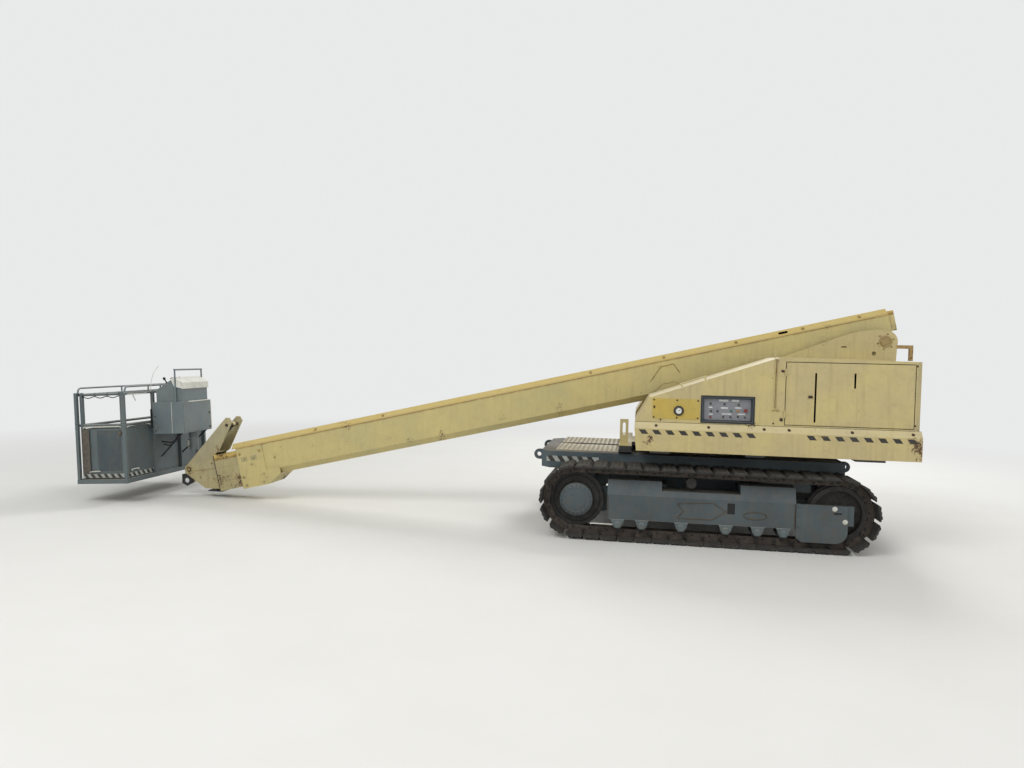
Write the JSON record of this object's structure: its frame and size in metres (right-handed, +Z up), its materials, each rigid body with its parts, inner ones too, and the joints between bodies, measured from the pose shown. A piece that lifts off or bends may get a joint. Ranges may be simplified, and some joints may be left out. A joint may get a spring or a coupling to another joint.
{
  "type": "tracked telescopic boom lift",
  "caption": "Tracked undercarriage with a slewing turntable, a three-section telescopic boom raised by a cylinder, and a self-levelling work basket.",
  "frame": {"origin": "on the ground under the slewing axis", "axes": "+X from the basket towards the counterweight, +Y to the right of an operator facing the basket, +Z up"},
  "size_m": [10.3652, 2.6, 2.7015],
  "materials": {
    "cream_paint": "satin",
    "yellow_paint": "satin",
    "grey_paint": "satin",
    "track_steel": "rough",
    "bright_steel": "satin",
    "rod_chrome": "polished",
    "pad_nylon": "matte",
    "engine_iron": "rough",
    "dark_panel": "satin"
  },
  "bodies": {
    "chassis": {"left_track": "track_steel", "right_track": "track_steel", "sprockets": "track_steel", "final_drives": "grey_paint", "idlers": "track_steel", "track_rollers": "track_steel", "carrier_rollers": "track_steel", "track_frames": "grey_paint", "idler_guards": "grey_paint", "car_body": "grey_paint", "deck_plates": "grey_paint", "slew_ring": "bright_steel"},
    "superstructure": {"turntable": "cream_paint", "turntable_pins": "bright_steel", "counterweight": "cream_paint", "front_bracket": "cream_paint", "rear_brackets": "yellow_paint", "skirts": "cream_paint", "left_front_cover": "cream_paint", "right_front_cover": "cream_paint", "rear_covers": "cream_paint", "control_panel": "dark_panel", "gauge_panel": "yellow_paint", "engine": "engine_iron"},
    "left_door_body": {"left_door": "cream_paint"},
    "right_door_body": {"right_door": "cream_paint"},
    "boom_base_body": {"boom_base": "cream_paint", "base_pads": "pad_nylon"},
    "boom_middle_body": {"boom_middle": "cream_paint", "middle_pads": "pad_nylon"},
    "boom_tip_body": {"boom_tip": "cream_paint", "tip_pads": "pad_nylon", "head_pins": "bright_steel"},
    "lift_barrel_body": {"lift_barrel": "cream_paint"},
    "lift_rod_body": {"lift_rod": "rod_chrome"},
    "level_barrel_body": {"level_barrel": "cream_paint"},
    "level_rod_body": {"level_rod": "rod_chrome"},
    "platform_bracket_body": {"platform_bracket": "grey_paint"},
    "basket_body": {"basket_mount": "grey_paint", "basket_frame": "grey_paint", "basket_floor": "bright_steel", "basket_panels": "grey_paint", "cabinet": "grey_paint", "console": "dark_panel"},
    "basket_gate_body": {"basket_gate": "grey_paint"}
  },
  "joints": [
    {"name": "turret_slew", "type": "hinge", "parent": "chassis", "child": "superstructure", "pos_m": [0, 0, 0.99], "axis": [0, 0, 1], "continuous": true},
    {"name": "boom_lift", "type": "hinge", "parent": "superstructure", "child": "boom_base_body", "pos_m": [2.069, 0, 2.309], "axis": [0, 1, 0], "range_deg": [0, 82]},
    {"name": "lift_barrel_swing", "type": "hinge", "parent": "superstructure", "child": "lift_barrel_body", "pos_m": [1.75, 0, 1.15], "axis": [0, 1, 0], "range_deg": [0, 67.6]},
    {"name": "lift_rod_slide", "type": "slide", "parent": "lift_barrel_body", "child": "lift_rod_body", "axis": [-0.987, 0, 0.1607], "range_m": [0, 1.411]},
    {"name": "boom_extend", "type": "slide", "parent": "boom_base_body", "child": "boom_middle_body", "axis": [-0.9734, 0, -0.2292], "range_m": [0, 4.6]},
    {"name": "tip_extend", "type": "slide", "parent": "boom_middle_body", "child": "boom_tip_body", "axis": [-0.9734, 0, -0.2292], "range_m": [0, 4.6]},
    {"name": "platform_level", "type": "hinge", "parent": "boom_tip_body", "child": "platform_bracket_body", "pos_m": [-6.833, 0, 0.372], "axis": [0, 1, 0], "range_deg": [-82.5, 0.5]},
    {"name": "level_barrel_swing", "type": "hinge", "parent": "boom_tip_body", "child": "level_barrel_body", "pos_m": [-6.282, 0, 1.004], "axis": [0, 1, 0], "range_deg": [-0.2, 8]},
    {"name": "level_rod_slide", "type": "slide", "parent": "level_barrel_body", "child": "level_rod_body", "axis": [-0.7575, 0, -0.6528], "range_m": [0, 0.3265]},
    {"name": "basket_rotate", "type": "hinge", "parent": "platform_bracket_body", "child": "basket_body", "pos_m": [-6.86963, 0, 0.97088], "axis": [-0.061, 0, 0.9981], "range_deg": [-80, 80]},
    {"name": "basket_gate_swing", "type": "hinge", "parent": "basket_body", "child": "basket_gate_body", "pos_m": [-7.88861, -0.867, 0.80837], "axis": [-0.061, 0, 0.9981], "range_deg": [0, 85]},
    {"name": "left_door_swing", "type": "hinge", "parent": "superstructure", "child": "left_door_body", "pos_m": [0.812, -1.208, 1.7], "axis": [0, 0, -1], "range_deg": [0, 110]},
    {"name": "right_door_swing", "type": "hinge", "parent": "superstructure", "child": "right_door_body", "pos_m": [0.812, 1.208, 1.7], "axis": [0, 0, 1], "range_deg": [0, 110]}
  ],
  "couplings": [
    {"joint": "lift_barrel_swing", "follows": "boom_lift", "ratio": 0.82253},
    {"joint": "lift_rod_slide", "follows": "boom_lift", "m_per_rad": 0.98479},
    {"joint": "tip_extend", "follows": "boom_extend", "ratio": 1},
    {"joint": "platform_level", "follows": "boom_lift", "ratio": -1},
    {"joint": "level_barrel_swing", "follows": "boom_lift", "ratio": 0.095885},
    {"joint": "level_rod_slide", "follows": "boom_lift", "m_per_rad": 0.22747}
  ]
}
